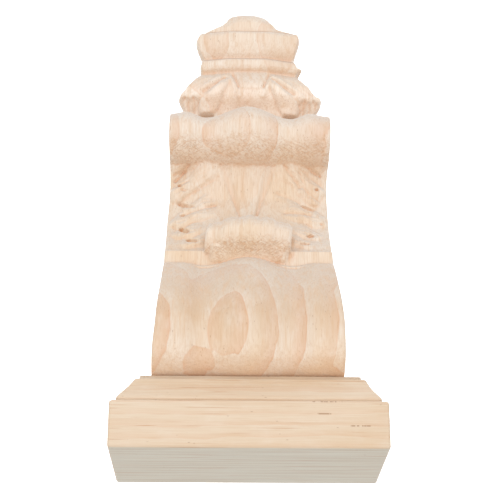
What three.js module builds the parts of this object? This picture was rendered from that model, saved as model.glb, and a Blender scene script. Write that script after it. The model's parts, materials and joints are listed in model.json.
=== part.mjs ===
// A carved wooden corbel: a moulded cap over one carved body with a scroll, an acanthus leaf,
// a lower roll and a hanging pendant. Millimetres, +Z up. The flat back lies on the plane
// Y = 0, the front looks towards -Y, and the origin is at mid-height on the back.
import * as THREE from "three";
import { mergeVertices } from "three/addons/utils/BufferGeometryUtils.js";

// Overall sizes
const capWidth = 100;
const capDepth = 50;
const totalHeight = 205;
const slabHeight = 17.6; // the plain upper part of the cap
const mouldingHeight = 12.1; // the ogee and its fillet under the slab
const glueGap = 0.3; // the joint between the cap and the body
const capHeight = slabHeight + mouldingHeight;
const topZ = totalHeight / 2;

// Cap
const slabEdgeRadius = 1.1;
const roundingSteps = 4;
const filletInset = 10.1; // the small square fillet under the ogee
const filletHeight = 1.2;
const ogeeSteps = 13;
const rightReach = 1.2; // the moulding stands out further on its right side
const rightReachInsets = [0.5, 5];
const step = 0.06; // height of a nearly level step

// Ogee: drop below the cap's top, inset from the slab's face
const ogeePoints = [
  [slabHeight, 2.1],
  [18.3, 2.2],
  [19.4, 2.4],
  [21, 3.5],
  [23, 5],
  [25, 6.5],
  [26.8, 7.6],
  [27.8, 8.2],
  [28.2, 8.6],
  [capHeight - filletHeight, 9.6],
];

// Body: every place is given as the drop below the cap's top
const bodyTop = capHeight + glueGap;
const stripTop = 80.3; // the square fillet under the scroll
const stripEnd = 83.2;
const bellTop = 148.8; // where the pendant starts
const edgeRounding = 1.2;
const leastDepth = 1.4;
const leastDepthFall = 0.4;

// Both rolls have a central bead between two coves, and side fillets
const valleyPlace = 17.5;
const ridgePlace = 25.2;
const filletRun = 7;
const scrollSection = { valley: 4.4, ridge: 1.6, edge: 1.9 };
const scrollEndSection = { valley: 4.4, ridge: 2.9, edge: 3 };
const rollSection = { valley: 5.2, ridge: 2.7, edge: 3.8 };

// The scroll's section is weaker near the cap and where it ends
const scroll = { weak: 0.75, fullAt: 58, endFrom: 50, endTo: 70, lift: 0.75, fade: 0.35, endRun: 1.6 };

const lowerRoll = { drop: 138.8, depth: 21.4, tall: 12.3, deep: 11, tilt: 0.01, hold: 21.5 };
const lowerRollShrink = { tall: 0.45, deep: 0.2, drop: 0.25, depth: 0.65 };

// The fillet swells out under the leaf's tip
const web = { height: 4.2, full: 12, none: 23, from: 76.5, peak: 85, to: 89 };

const leafTip = { drop: 89.6, depth: 30.4, radius: 8.3, halfWidth: 16.7, rounding: 2.2, arch: 1.9 };
const leafTipFlute = { height: 0.3, width: 7.6 };
const leafTipEnd = 0.86;

// Middle line of the scroll and of the ground behind the leaf: drop, depth from the wall
const profilePoints = [
  [bodyTop, 38.6],
  [31.1, 41.4],
  [33, 44.3],
  [36, 46.8],
  [40, 48.2],
  [45, 48.6],
  [51, 48.3],
  [57, 47.2],
  [63, 45.2],
  [69, 42.4],
  [74, 39.2],
  [77.6, 36.4],
  [79.4, 34.2],
  [stripTop, 31.5],
  [83.3, 31.3],
  [84.3, 28.9],
  [88, 26.4],
  [93, 22.9],
  [99, 19.8],
  [106, 17.2],
  [113, 15.5],
  [120, 15.2],
  [125, 16],
  [128, 17.4],
];

// Sides of the body: drop, half width on the left (+X), half width on the right
const sidePoints = [
  [bodyTop, 35.8, 35.3],
  [38, 35.6, 35.5],
  [48, 34.8, 35.4],
  [57, 34.2, 34.8],
  [68, 33.2, 33.7],
  [80, 32.6, 32.8],
  [100, 32.3, 32.3],
  [118, 31.6, 32.1],
  [128, 31.8, 32.9],
  [136, 32.1, 33.3],
  [bellTop, 32, 33.1],
];

// Pendant: drop, half width on the left, half width on the right, depth on the middle line
const pendantPoints = [
  [bellTop, 27.6, 28, 12.6],
  [155, 27.6, 28.1, 13.6],
  [157, 27.9, 29.6, 14.8],
  [158.7, 28.9, 30.8, 16.4],
  [159.9, 29.2, 30.7, 17.2],
  [161.4, 28.7, 28.8, 17.7],
  [163.3, 27.2, 27.3, 17.9],
  [165.3, 26.1, 26.2, 17.6],
  [167.2, 24.6, 24.5, 17],
  [169.2, 23.1, 22.9, 16.2],
  [171.1, 21.8, 21.8, 15.3],
  [172.9, 20.3, 21, 14.6],
  [173.8, 20.3, 21.1, 16.4],
  [175.7, 20.5, 21.3, 17.2],
  [177.6, 20.1, 20.8, 17],
  [178.9, 19.6, 20.1, 15.9],
  [179.4, 19.5, 19.9, 14.8],
  [181.5, 20.4, 20.4, 16.2],
  [183.5, 21.4, 21, 17],
  [185.5, 22.1, 21.7, 17.5],
  [187.5, 22.4, 22.2, 17.8],
  [189.5, 21.9, 22.4, 17.8],
  [191.3, 20.9, 22, 17.2],
  [192.3, 20, 20.6, 15.4],
  [192.9, 19.6, 19.3, 14.2],
  [194.2, 18.1, 18.2, 14.2],
  [195.6, 15.8, 14.5, 14.4],
  [197.2, 12.7, 12.6, 14.4],
  [199.2, 10.4, 10.5, 14],
  [201, 9.4, 9.1, 13.2],
  [202.4, 8.4, 7.2, 12.2],
  [203.6, 6.8, 5, 10.7],
  [204.4, 5, 3.8, 9.3],
  [totalHeight, 3.6, 3.2, 7.6],
];

const pendantLean = { inset: 2.6, run: 4, knobShare: 0.5, knobFrom: 193, knobTo: 204, wallShare: 0.72 };
const pendantRound = { bell: 8, knob: 5, from: 192, to: 197 };
const pendantSlant = { left: 0.12, right: 0.18, from: 0.3 };
const carvedTo = 172.6; // the ring ends the bell's carving

// Bell leaves, on each side of the middle
const panel = { middle: -1.3, top: 7, foot: 4.8, step: 163.4, stepRun: 8.1, rise: 0.45 };
const tongue = { from: [9.4, 167.4], to: [16.8, 156.4], bow: -0.8, root: 1.7, spread: 2.3, height: 1.9 };
const outerLeaf = { start: 9.4, startDrop: 168.8, slope: 0.95, run: 6, height: 1.1, edge: 159.6 };
const recess = { depth: 1.7, from: 19.3, to: 20.7 };
const pocket = { depth: 5.4, inner: [13.6, 15.6], outer: [20, 21.6], drops: [152.4, 154] };

// Leaf lobes on each side of the stem: start x, start drop, tip x, tip drop, width, height, bow
const leftLobes = [
  [16, 129, 29.8, 126.2, 2.6, 1.5, 0],
  [12, 126.5, 28.6, 114, 5, 2.2, 1.6],
  [13, 112, 24, 107, 3.4, 1.2, 0.6],
  [12, 106.8, 27.6, 100.4, 3.4, 2.5, 1.2],
  [16, 97.8, 26.6, 93.4, 2.8, 2.1, 0.4],
  [15, 91.6, 23.6, 86.8, 2.5, 1.8, 0],
];
const rightLobes = [
  [15, 128.6, 29.2, 126.4, 2.6, 1.3, 0],
  [12, 126, 28.2, 115.6, 4.6, 1.9, 1.2],
  [19, 119, 26.6, 111.2, 2.4, 2, 0.6],
  [14, 107, 28, 101.8, 3.8, 1.9, 0.8],
  [16, 97.4, 26, 93.2, 2.8, 1.5, 0.4],
  [15, 91.6, 22.8, 87.4, 2.5, 1.4, 0],
];
const lobeTaper = 0.35;
const blade = { height: 2.4, full: 15, none: 26, from: 86, to: 94 };
const stem = { neck: 4.5, neckDrop: 108, root: 9.2, run: 18, least: 2.5, height: 2.9, foot: 0.7, rim: 1.12 };
const stemCrest = { x: -2.1, height: 1, halfWidth: 4.5 };
const leafDrops = { from: 84.5, full: 88.5, fade: 128, to: 131 };

// Rows down the body: from, to, count; closer together where the profile turns sharply
const rowStretches = [
  [bodyTop, 40, 7],
  [40, 74, 10],
  [74, 86, 12],
  [86, 98, 9],
  [98, 126, 12],
  [126, bellTop - 0.25, 13],
  [bellTop, 162, 11],
  [162, 172.6, 8],
  [172.6, 180.4, 8],
  [180.4, 191.4, 5],
  [191.4, totalHeight, 11],
];
const innerColumns = 36;
const innerReach = 0.965;
const outerColumn = 0.985;

// Smoothly rises from 0 to 1 between two values.
function ramp(from, to, value) {
  const t = THREE.MathUtils.clamp((value - from) / (to - from), 0, 1);
  return t * t * (3 - 2 * t);
}

// A smooth curve through the points that never overshoots them (monotone cubic).
function curveThrough(points, column = 1) {
  const x = points.map((p) => p[0]);
  const y = points.map((p) => p[column]);
  const slope = x.slice(1).map((v, i) => (y[i + 1] - y[i]) / (v - x[i]));
  const tangent = x.map((_, i) => {
    if (i === 0) return slope[0];
    if (i === x.length - 1) return slope[i - 1];
    if (slope[i - 1] * slope[i] <= 0) return 0;
    return (2 * slope[i - 1] * slope[i]) / (slope[i - 1] + slope[i]);
  });
  return (at) => {
    const v = THREE.MathUtils.clamp(at, x[0], x[x.length - 1]);
    let i = x.findIndex((knot) => knot > v) - 1;
    if (i < 0) i = x.length - 2;
    const span = x[i + 1] - x[i];
    const t = (v - x[i]) / span;
    const rise = t * t * (3 - 2 * t) * (y[i + 1] - y[i]);
    return y[i] + rise + span * t * (1 - t) * ((1 - t) * tangent[i] - t * tangent[i + 1]);
  };
}

// How far along a line a place lies (0 to 1), and how far beside it.
function besideLine(x, drop, [x0, d0], [x1, d1], bow) {
  const lengthSq = (x1 - x0) ** 2 + (d1 - d0) ** 2;
  const t = THREE.MathUtils.clamp(((x - x0) * (x1 - x0) + (drop - d0) * (d1 - d0)) / lengthSq, 0, 1);
  const acrossX = x - x0 - t * (x1 - x0);
  const acrossDrop = drop - d0 - t * (d1 - d0) - bow * Math.sin(Math.PI * t);
  return [t, Math.hypot(acrossX, acrossDrop)];
}

// A rounded ridge's height, as a share, from the distance beside its middle line.
function ridgeShare(beside, halfWidth) {
  return Math.sqrt(Math.max(1 - (beside / halfWidth) ** 2, 0));
}

const ogeeInset = curveThrough(ogeePoints);
const centreDepth = curveThrough(profilePoints);
const bodyLeft = curveThrough(sidePoints, 1);
const bodyRight = curveThrough(sidePoints, 2);
const pendantLeft = curveThrough(pendantPoints, 1);
const pendantRight = curveThrough(pendantPoints, 2);
const pendantDepth = curveThrough(pendantPoints, 3);

function halfWidthAt(side, drop) {
  if (drop < bellTop) return side > 0 ? bodyLeft(drop) : bodyRight(drop);
  return side > 0 ? pendantLeft(drop) : pendantRight(drop);
}

// How far the front stands back from the bead's crest, from the middle out to the edge.
function setBack(x, { valley, ridge, edge }) {
  const side = Math.abs(x);
  const bead = (valley * (1 - Math.cos((Math.PI * Math.min(side, valleyPlace)) / valleyPlace))) / 2;
  const climb = ramp(valleyPlace, ridgePlace, side);
  const fall = ramp(ridgePlace, ridgePlace + filletRun, side);
  return bead + climb * (ridge - valley) + fall * (edge - ridge);
}

function lobeRise(side, drop, [x0, d0, x1, d1, width, height, bow]) {
  const [t, beside] = besideLine(side, drop, [x0, d0], [x1, d1], bow);
  return height * ridgeShare(beside, width * (1 - lobeTaper * t)) * ramp(-0.1, 0.55, t);
}

// The acanthus leaf's relief above its ground, stem included.
function leafRise(x, drop) {
  const side = Math.abs(x);
  const lobes = x > 0 ? leftLobes : rightLobes;
  const onBlade = (1 - ramp(blade.full, blade.none, side)) * ramp(blade.from, blade.to, drop);
  const leaf = blade.height * onBlade + Math.max(...lobes.map((lobe) => lobeRise(side, drop, lobe)));
  const stemHalf = stem.neck + ((drop - stem.neckDrop) / stem.run) * (stem.root - stem.neck);
  const stalk = stem.height * (1 - ramp(stem.foot, stem.rim, side / Math.max(stemHalf, stem.least)));
  const crest = stemCrest.height * Math.max(1 - Math.abs(x - stemCrest.x) / stemCrest.halfWidth, 0);
  const fade = ramp(leafDrops.from, leafDrops.full, drop) * (1 - ramp(leafDrops.fade, leafDrops.to, drop));
  return Math.max(leaf, stalk > 0 ? stalk + crest : 0) * fade;
}

// The leaf's tip, curled over into a fluted roll that stands out in front of the fillet.
function leafTipDepth(x, drop) {
  const inward = leafTip.halfWidth - Math.abs(x);
  if (inward < 0) return 0;
  const t = 1 - Math.min(inward / leafTip.rounding, 1);
  const end = leafTipEnd + (1 - leafTipEnd) * Math.sqrt(1 - t * t);
  const shrink = leafTip.arch * (x / leafTip.halfWidth) ** 2;
  const flute = leafTipFlute.height * Math.cos((2 * Math.PI * x) / leafTipFlute.width);
  const radius = (leafTip.radius - shrink + flute) * end;
  const across = (drop - leafTip.drop + shrink) / radius;
  if (Math.abs(across) >= 1) return 0;
  return leafTip.depth - shrink / 2 + radius * Math.sqrt(1 - across * across);
}

function lowerRollDepth(x, drop) {
  const back = setBack(x, rollSection);
  const tall = lowerRoll.tall - lowerRollShrink.tall * back;
  const deep = lowerRoll.deep - lowerRollShrink.deep * back;
  const middle = lowerRoll.drop - lowerRollShrink.drop * back + lowerRoll.tilt * x;
  const across = (drop - middle) / tall;
  if (Math.abs(across) >= 1) return 0;
  return lowerRoll.depth - lowerRollShrink.depth * back + deep * Math.sqrt(1 - across * across);
}

// Front surface of the body above the pendant.
function bodyDepth(x, drop) {
  const low = ramp(scroll.endFrom, scroll.endTo, drop);
  const lift = scroll.lift * setBack(x, scrollEndSection) * low * (1 - ramp(stripTop, stripEnd, drop));
  const lifted = drop + lift;
  const onScroll = 1 - ramp(stripTop - scroll.endRun, stripTop, lifted);
  const strength = scroll.weak + (1 - scroll.weak) * ramp(bodyTop, scroll.fullAt, drop);
  const back = onScroll * strength * setBack(x, scrollSection) * (1 - scroll.fade * low);
  const webAcross = 1 - ramp(web.full, web.none, Math.abs(x));
  const swell = web.height * webAcross * ramp(web.from, web.peak, drop) * (1 - ramp(web.peak, web.to, drop));
  const ground = centreDepth(lifted) - back + swell;
  return Math.max(ground + leafRise(x, drop), leafTipDepth(x, drop), lowerRollDepth(x, drop));
}

// Leaves of the bell: a panel in the middle, a tongue and an outer leaf on each side of it.
function bellCarving(x, drop) {
  if (drop > carvedTo) return 0;
  const side = Math.abs(x);
  const panelHalf = panel.foot + ((drop - panel.step) / panel.stepRun) * (panel.top - panel.foot);
  const acrossPanel = Math.abs(x - panel.middle) / Math.max(panelHalf, 2);
  const onPanel = (1 - ramp(0.85, 1.05, acrossPanel)) * ramp(-0.4, 0.2, drop - panel.step);
  const [t, beside] = besideLine(side, drop, tongue.from, tongue.to, tongue.bow);
  const onTongue = ridgeShare(beside, tongue.root + tongue.spread * t) * ramp(-0.2, 0.25, t);
  const pastGroove = side - outerLeaf.start - (outerLeaf.startDrop - drop) * outerLeaf.slope;
  const bulge = outerLeaf.height * ramp(-1, outerLeaf.run - 1, pastGroove) * (1 - ramp(169, carvedTo, drop));
  const under = ramp(recess.from, recess.to, side) * (1 - ramp(-0.6, 0.3, drop - outerLeaf.edge));
  const acrossPocket = ramp(...pocket.inner, side) * (1 - ramp(...pocket.outer, side));
  const inPocket = acrossPocket * (1 - ramp(...pocket.drops, drop));
  const clear = 1 - onTongue;
  const raised = panel.rise * onPanel + tongue.height * onTongue + bulge * clear;
  return raised - recess.depth * under * clear - pocket.depth * inPocket;
}

// Front surface of the pendant: bell leaves, ring, cup and knob.
function pendantSurface(x, drop) {
  const across = Math.min(Math.abs(x) / halfWidthAt(x, drop), 1);
  const centre = pendantDepth(drop);
  const onKnob = ramp(pendantRound.from, pendantRound.to, drop);
  const power = THREE.MathUtils.lerp(pendantRound.bell, pendantRound.knob, onKnob);
  const rounded = centre * (1 - across ** power) ** (1 / power);
  const slant = x > 0 ? pendantSlant.left : pendantSlant.right;
  const flat = centre * (1 - slant * ramp(pendantSlant.from, 1, across));
  return Math.min(flat, rounded) + bellCarving(x, drop);
}

function frontDepth(x, drop) {
  const roll = Math.abs(x) < lowerRoll.hold ? lowerRollDepth(x, drop) : 0;
  const depth = drop < bellTop ? bodyDepth(x, drop) : Math.max(pendantSurface(x, drop), roll);
  const halfWidth = halfWidthAt(x, drop);
  const t = 1 - Math.min(Math.max(halfWidth - Math.abs(x), 0) / edgeRounding, 1);
  const least = leastDepth - leastDepthFall * (x / halfWidth) ** 2;
  return Math.max(depth - edgeRounding * (1 - Math.sqrt(1 - t * t)), least);
}

// How far the pendant's sides lean in where they meet the wall.
function leanAt(drop) {
  const knob = 1 - pendantLean.knobShare * ramp(pendantLean.knobFrom, pendantLean.knobTo, drop);
  return pendantLean.inset * ramp(bellTop, bellTop + pendantLean.run, drop) * knob;
}

function rowDrops() {
  const drops = rowStretches.flatMap(([from, to, count]) =>
    Array.from({ length: count }, (_, i) => from + ((to - from) * i) / count),
  );
  return [...drops, totalHeight];
}

// Columns across the body, from -1 to 1 of the half width, with two for each rounded edge.
function columnPlaces() {
  const spread = Array.from({ length: innerColumns + 1 }, (_, i) => (2 * i) / innerColumns - 1);
  return [-1, -outerColumn, ...spread.map((u) => u * innerReach), outerColumn, 1];
}

function fan(ring, first, middle, turned) {
  return ring.flatMap((_, i) => {
    const a = first + i;
    const b = first + ((i + 1) % ring.length);
    return turned ? [middle, b, a] : [middle, a, b];
  });
}

// Closes a stack of equal rings of points into one solid, with flat ends.
function loft(rings) {
  const count = rings[0].length;
  const positions = rings.flat().flatMap((p) => [p.x, p.y, p.z]);
  const faces = [];
  for (let r = 0; r + 1 < rings.length; r++) {
    for (let i = 0; i < count; i++) {
      const a = r * count + i;
      const b = r * count + ((i + 1) % count);
      faces.push(a, b + count, b, a, a + count, b + count);
    }
  }
  const middles = [rings[0], rings.at(-1)].map((ring) => {
    const deepest = Math.min(...ring.map((p) => p.y));
    return positions.push(0, deepest / 2, ring[0].z) / 3 - 1;
  });
  faces.push(...fan(rings[0], 0, middles[0], false));
  faces.push(...fan(rings.at(-1), (rings.length - 1) * count, middles[1], true));
  const geometry = new THREE.BufferGeometry();
  geometry.setAttribute("position", new THREE.Float32BufferAttribute(positions, 3));
  geometry.setIndex(faces);
  return geometry;
}

// The carved body: each ring runs along the carved front and back along the wall.
function carvedBodyGeometry() {
  const columns = columnPlaces();
  const rings = rowDrops().map((drop) => {
    const z = topZ - drop;
    const front = columns.map((u) => {
      const half = halfWidthAt(u, drop);
      const depth = frontDepth(u * half, drop);
      const onWall = THREE.MathUtils.clamp(1 - depth / (pendantLean.wallShare * pendantDepth(drop)), 0, 1);
      return new THREE.Vector3(u * (half - leanAt(drop) * onWall), -depth, z);
    });
    const back = [1, -1].map((u) => new THREE.Vector3(u * (halfWidthAt(u, drop) - leanAt(drop)), 0, z));
    return [...front, ...back];
  });
  return loft(rings);
}

// Ring of the cap at one height: square at the wall, with small rounded front corners.
function capRing([inset, drop]) {
  const radius = slabEdgeRadius;
  const z = topZ - drop;
  const reach = { [-1]: rightReach * ramp(...rightReachInsets, inset), 1: 0 };
  const front = [-1, 1].flatMap((side) =>
    Array.from({ length: roundingSteps + 1 }, (_, i) => {
      const angle = ((side < 0 ? i : roundingSteps - i) / roundingSteps) * (Math.PI / 2);
      const x = capWidth / 2 - inset + reach[side] - radius + radius * Math.cos(angle);
      return new THREE.Vector3(side * x, radius - capDepth + inset - radius * Math.sin(angle), z);
    }),
  );
  const back = [1, -1].map((side) => new THREE.Vector3(side * (capWidth / 2 - inset + reach[side]), 0, z));
  return [...front, ...back];
}

function capGeometry() {
  const turns = Array.from({ length: roundingSteps + 1 }, (_, i) => ((i / roundingSteps) * Math.PI) / 2);
  const rounding = turns.map((a) => [slabEdgeRadius * (1 - Math.sin(a)), slabEdgeRadius * (1 - Math.cos(a))]);
  const lowerEdge = rounding.map(([inset, drop]) => [drop, slabHeight - inset]);
  const ogeeTop = slabHeight + step;
  const ogeeRun = capHeight - filletHeight - ogeeTop;
  const ogee = Array.from({ length: ogeeSteps + 1 }, (_, i) => {
    const drop = ogeeTop + (ogeeRun * i) / ogeeSteps;
    return [ogeeInset(drop), drop];
  });
  const fillet = [
    [filletInset, capHeight - filletHeight + step],
    [filletInset, capHeight],
  ];
  return loft([...rounding, ...lowerEdge, ...ogee, ...fillet].map(capRing));
}

function wood(colour) {
  return new THREE.MeshStandardMaterial({ color: colour, roughness: 0.72, metalness: 0 });
}

function piece(name, geometry, colour) {
  const merged = mergeVertices(geometry, 1e-4);
  merged.computeVertexNormals();
  const mesh = new THREE.Mesh(merged, wood(colour));
  mesh.name = name;
  return mesh;
}

const corbel = new THREE.Group();
corbel.add(piece("cap", capGeometry(), 0xe6cdb1));
corbel.add(piece("carved_body", carvedBodyGeometry(), 0xe8cdae));

export default corbel;
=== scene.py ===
# A carved wooden corbel: rubberwood, machine carved, unfinished. Two glued pieces: cap and body.
# Shapes are worked out in millimetres and built in metres; drop is the distance below the cap's top.
# Left and right are the photograph's, where the corbel lies with its cap at the bottom: left is +X.
import json
import math

import bpy
import numpy as np
from mathutils import Matrix, Vector

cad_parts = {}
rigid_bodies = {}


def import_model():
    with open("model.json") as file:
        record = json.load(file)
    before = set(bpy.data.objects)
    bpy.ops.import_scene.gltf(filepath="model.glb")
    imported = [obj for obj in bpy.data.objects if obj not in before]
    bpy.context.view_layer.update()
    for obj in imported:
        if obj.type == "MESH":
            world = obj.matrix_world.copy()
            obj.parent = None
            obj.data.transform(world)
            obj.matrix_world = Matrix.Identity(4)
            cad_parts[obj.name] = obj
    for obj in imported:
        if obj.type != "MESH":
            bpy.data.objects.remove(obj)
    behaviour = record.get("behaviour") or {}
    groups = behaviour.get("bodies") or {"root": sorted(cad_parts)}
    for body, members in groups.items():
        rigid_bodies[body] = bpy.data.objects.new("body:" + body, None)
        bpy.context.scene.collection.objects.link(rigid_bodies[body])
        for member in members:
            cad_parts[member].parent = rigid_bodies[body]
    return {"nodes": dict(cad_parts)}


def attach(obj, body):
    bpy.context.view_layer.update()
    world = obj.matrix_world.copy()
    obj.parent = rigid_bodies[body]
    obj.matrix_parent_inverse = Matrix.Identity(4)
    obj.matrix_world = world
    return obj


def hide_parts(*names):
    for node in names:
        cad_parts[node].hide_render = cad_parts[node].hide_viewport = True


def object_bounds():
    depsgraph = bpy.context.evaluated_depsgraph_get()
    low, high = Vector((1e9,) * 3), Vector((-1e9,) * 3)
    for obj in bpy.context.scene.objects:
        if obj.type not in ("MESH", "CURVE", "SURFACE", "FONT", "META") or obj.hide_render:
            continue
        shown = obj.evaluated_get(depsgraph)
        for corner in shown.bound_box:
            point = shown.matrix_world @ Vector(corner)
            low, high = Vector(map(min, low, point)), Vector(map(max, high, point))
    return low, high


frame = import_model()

frameBox = [list(corner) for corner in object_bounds()]
print("frame loaded:", sorted(frame["nodes"]))

mm = 0.001
topZ = 102.5  # the cap's top above the origin


def linearColour(hexText):
    channels = [int(hexText[i:i + 2], 16) / 255 for i in (1, 3, 5)]
    return [c / 12.92 if c <= 0.04045 else ((c + 0.055) / 1.055) ** 2.4 for c in channels] + [1.0]


# Shape helpers, all working on whole arrays

def ramp(low, high, value):
    t = np.clip((value - low) / (high - low), 0, 1)
    return t * t * (3 - 2 * t)


def bell(centre, width, value):
    return np.exp(-(((value - centre) / width) ** 2))


def smoothMax(a, b, blend=0.6):
    h = np.clip(0.5 + 0.5 * (a - b) / blend, 0, 1)
    return b + (a - b) * h + blend * h * (1 - h)


# a curve through the points that never overshoots between them
def curveThrough(points, column=1):
    x = np.array([p[0] for p in points], float)
    y = np.array([p[column] for p in points], float)
    slope = np.diff(y) / np.diff(x)
    tangent = np.empty_like(y)
    tangent[0], tangent[-1] = slope[0], slope[-1]
    product = slope[:-1] * slope[1:]
    total = np.where(product > 0, slope[:-1] + slope[1:], 1)
    tangent[1:-1] = np.where(product > 0, 2 * product / total, 0)

    def at(value):
        v = np.clip(value, x[0], x[-1])
        i = np.clip(np.searchsorted(x, v, side="right") - 1, 0, len(x) - 2)
        span = x[i + 1] - x[i]
        t = (v - x[i]) / span
        eased = y[i] + ramp(0, 1, t) * (y[i + 1] - y[i])
        return eased + span * t * (1 - t) * ((1 - t) * tangent[i] - t * tangent[i + 1])

    return at


# how far along a line from start to end a place is (0 to 1), and how far beside it
def besideLine(x, drop, line, bow=0.0):
    x0, d0, x1, d1 = line
    t = ((x - x0) * (x1 - x0) + (drop - d0) * (d1 - d0)) / ((x1 - x0) ** 2 + (d1 - d0) ** 2)
    t = np.clip(t, 0, 1)
    return t, np.hypot(x - x0 - t * (x1 - x0), drop - d0 - t * (d1 - d0) - bow * np.sin(np.pi * t))


def cutLine(x, drop, line, width, depth):
    t, beside = besideLine(x, drop, line)
    return depth * bell(0, width, beside)


def cutSpot(x, drop, spot):
    x0, d0, half, tall, turn, depth = spot
    u = (x - x0) * math.cos(turn) + (drop - d0) * math.sin(turn)
    v = -(x - x0) * math.sin(turn) + (drop - d0) * math.cos(turn)
    inside = ramp(0, 0.8, 1 - (u / half) ** 2 - (v / tall) ** 2)
    return depth * inside * (0.5 - 0.4 * v / tall)  # deepest along the edge nearer the cap


# The body's outline and profile

body = {
    "top": 30.0,  # drop where it meets the cap
    "stripTop": 80.3, "stripBottom": 83.2,  # the square fillet under the scroll
    "rollDrop": 138.8, "rollDepth": 21.4,  # axis of the lower roll
    "rollTall": 12.3, "rollDeep": 11.0,
    "bellTop": 148.8,
    "bottom": 205,
    "valley": 17.5, "ridge": 25.2, "ridgeWidth": 7,  # coves beside the bead and the ridges outside them
    "scrollFace": (4.4, 1.6, 1.9),  # how far back its coves, ridges and edges stand from the bead
    "scrollFoot": (4.4, 2.9, 3.0),  # how much sooner the scroll ends there
    "rollFace": (5.2, 2.7, 3.8),
    "edgeRounding": 1.2,
    "voxel": 0.4,  # size of the carved surface's faces
    "mostTriangles": 192000,
}

profile = curveThrough([  # drop, how far the middle of the front stands out from the wall
    (30.0, 38.6), (31.1, 41.4), (33.0, 44.3), (36, 46.8), (40, 48.2), (45, 48.6), (51, 48.3),
    (57, 47.2), (63, 45.2), (69, 42.4), (74, 39.2), (77.6, 36.4), (79.4, 34.2), (80.3, 31.5),
    (83.3, 31.3), (84.3, 28.9), (88, 26.4), (93, 22.9), (99, 19.8), (106, 17.2), (113, 15.5),
    (120, 15.2), (125, 16.0), (128, 17.4),
])
bodySides = [  # drop, left half width, right half width
    (30, 35.8, 35.3), (38, 35.6, 35.5), (48, 34.8, 35.4), (57, 34.2, 34.8), (68, 33.2, 33.7),
    (80, 32.6, 32.8), (100, 32.3, 32.3), (118, 31.6, 32.1), (128, 31.8, 32.9), (136, 32.1, 33.3),
    (148.8, 32.0, 33.6),
]
pendantPoints = [  # drop, left half width, right half width, depth in the middle
    (148.8, 27.6, 28.0, 12.6), (155, 27.6, 28.2, 13.6), (157, 27.9, 30.2, 14.8), (158.7, 28.9, 31.3, 16.4),
    (159.9, 29.2, 31.2, 17.2), (161.4, 28.7, 28.8, 17.7), (163.3, 27.2, 27.3, 17.9),
    (165.3, 26.1, 26.2, 17.6), (167.2, 24.6, 24.5, 17.0), (169.2, 23.1, 22.9, 16.2),
    (171.1, 21.8, 21.8, 15.3), (172.9, 20.3, 21.0, 14.6), (173.8, 20.3, 21.1, 16.4),
    (175.7, 20.5, 21.3, 17.2), (177.6, 20.1, 20.8, 17.0), (178.9, 19.6, 20.1, 15.9),
    (179.4, 19.5, 19.9, 14.8), (181.5, 20.4, 20.4, 16.2), (183.5, 21.4, 21.0, 17.0),
    (185.5, 22.1, 21.7, 17.5), (187.5, 22.4, 22.2, 17.8), (189.5, 21.9, 22.4, 17.8),
    (191.3, 20.9, 22.0, 17.2), (192.3, 20.0, 21.2, 15.4), (192.9, 19.6, 21.2, 14.2),
    (194.2, 18.1, 17.6, 14.2), (195.6, 15.8, 13.6, 14.4), (197.2, 12.7, 12.6, 14.4),
    (199.2, 10.4, 10.5, 14.0), (201, 9.4, 9.1, 13.2), (202.4, 8.4, 7.2, 12.2), (203.6, 6.8, 5.0, 10.7),
    (204.4, 5.0, 1.8, 9.1), (205, 3.4, 0.9, 7.4),
]
bodyLeft, bodyRight = curveThrough(bodySides, 1), curveThrough(bodySides, 2)
pendantLeft, pendantRight = curveThrough(pendantPoints, 1), curveThrough(pendantPoints, 2)
pendantDepth = curveThrough(pendantPoints, 3)


def leftAt(drop):
    return np.where(drop < body["bellTop"], bodyLeft(drop), pendantLeft(drop))


# torn fibres stick out at the right end of the pendant's ring
splinter = {"drop": 174.9, "half": 0.55, "reach": 2.0}


def rightAt(drop):
    torn = splinter["reach"] * bell(splinter["drop"], splinter["half"], drop)
    return np.where(drop < body["bellTop"], bodyRight(drop), pendantRight(drop) + torn)


# how far the front stands back from the bead's crest, from the middle out to the edge
def setBack(x, valley, ridge, edge):
    a = np.abs(x)
    bead = valley * (1 - np.cos(np.pi * np.minimum(a, body["valley"]) / body["valley"])) / 2
    climb = ramp(body["valley"], body["ridge"], a)
    fall = ramp(body["ridge"], body["ridge"] + body["ridgeWidth"], a)
    return bead + climb * (ridge - valley) + fall * (edge - ridge)


# The acanthus leaf, unlike on its two sides: lobes fan out from a stem, eyes are cut between the tips
# x is measured outwards from the middle

leafLeft = {
    "lobes": [  # start x, start drop, tip x, tip drop, width, height, bow
        (16, 129, 29.8, 126.2, 2.6, 1.5, 0), (12, 126.5, 28.6, 114.0, 5.0, 2.2, 1.6),
        (13, 112, 24, 107, 3.6, 1.2, 0.6), (12, 106.8, 28.0, 100.2, 4.7, 2.0, 1.2),
        (16, 97.8, 27.2, 93.4, 3.9, 1.7, 0.4), (15, 91.6, 24.4, 86.8, 3.4, 1.5, 0),
    ],
    "cuts": [  # start x, start drop, end x, end drop, width, depth
        (22.6, 128.8, 29.4, 121, 0.7, 1.6), (25.6, 125, 30.2, 123.4, 0.5, 0.9),
        (13.3, 108.4, 25.4, 104.2, 0.8, 1.2), (12, 122, 22, 115.6, 1.2, 0.5),
        (24, 120.4, 29, 117.8, 0.6, 0.8),
    ],
    "eyes": [  # x, drop, half length, half height, turn, depth
        (25.2, 109.5, 4.6, 1.2, 0.34, 3.0), (27.6, 118.6, 1.2, 0.9, 0.5, 2.6),
        (25.8, 116.2, 1.8, 0.9, 0.2, 1.4), (26.3, 104.0, 1.4, 0.9, 0.3, 2.6),
        (25.2, 95.7, 2.7, 1.45, 0.5, 4.2), (22.0, 89.9, 3.0, 1.25, 0.35, 3.8),
    ],
}
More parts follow.
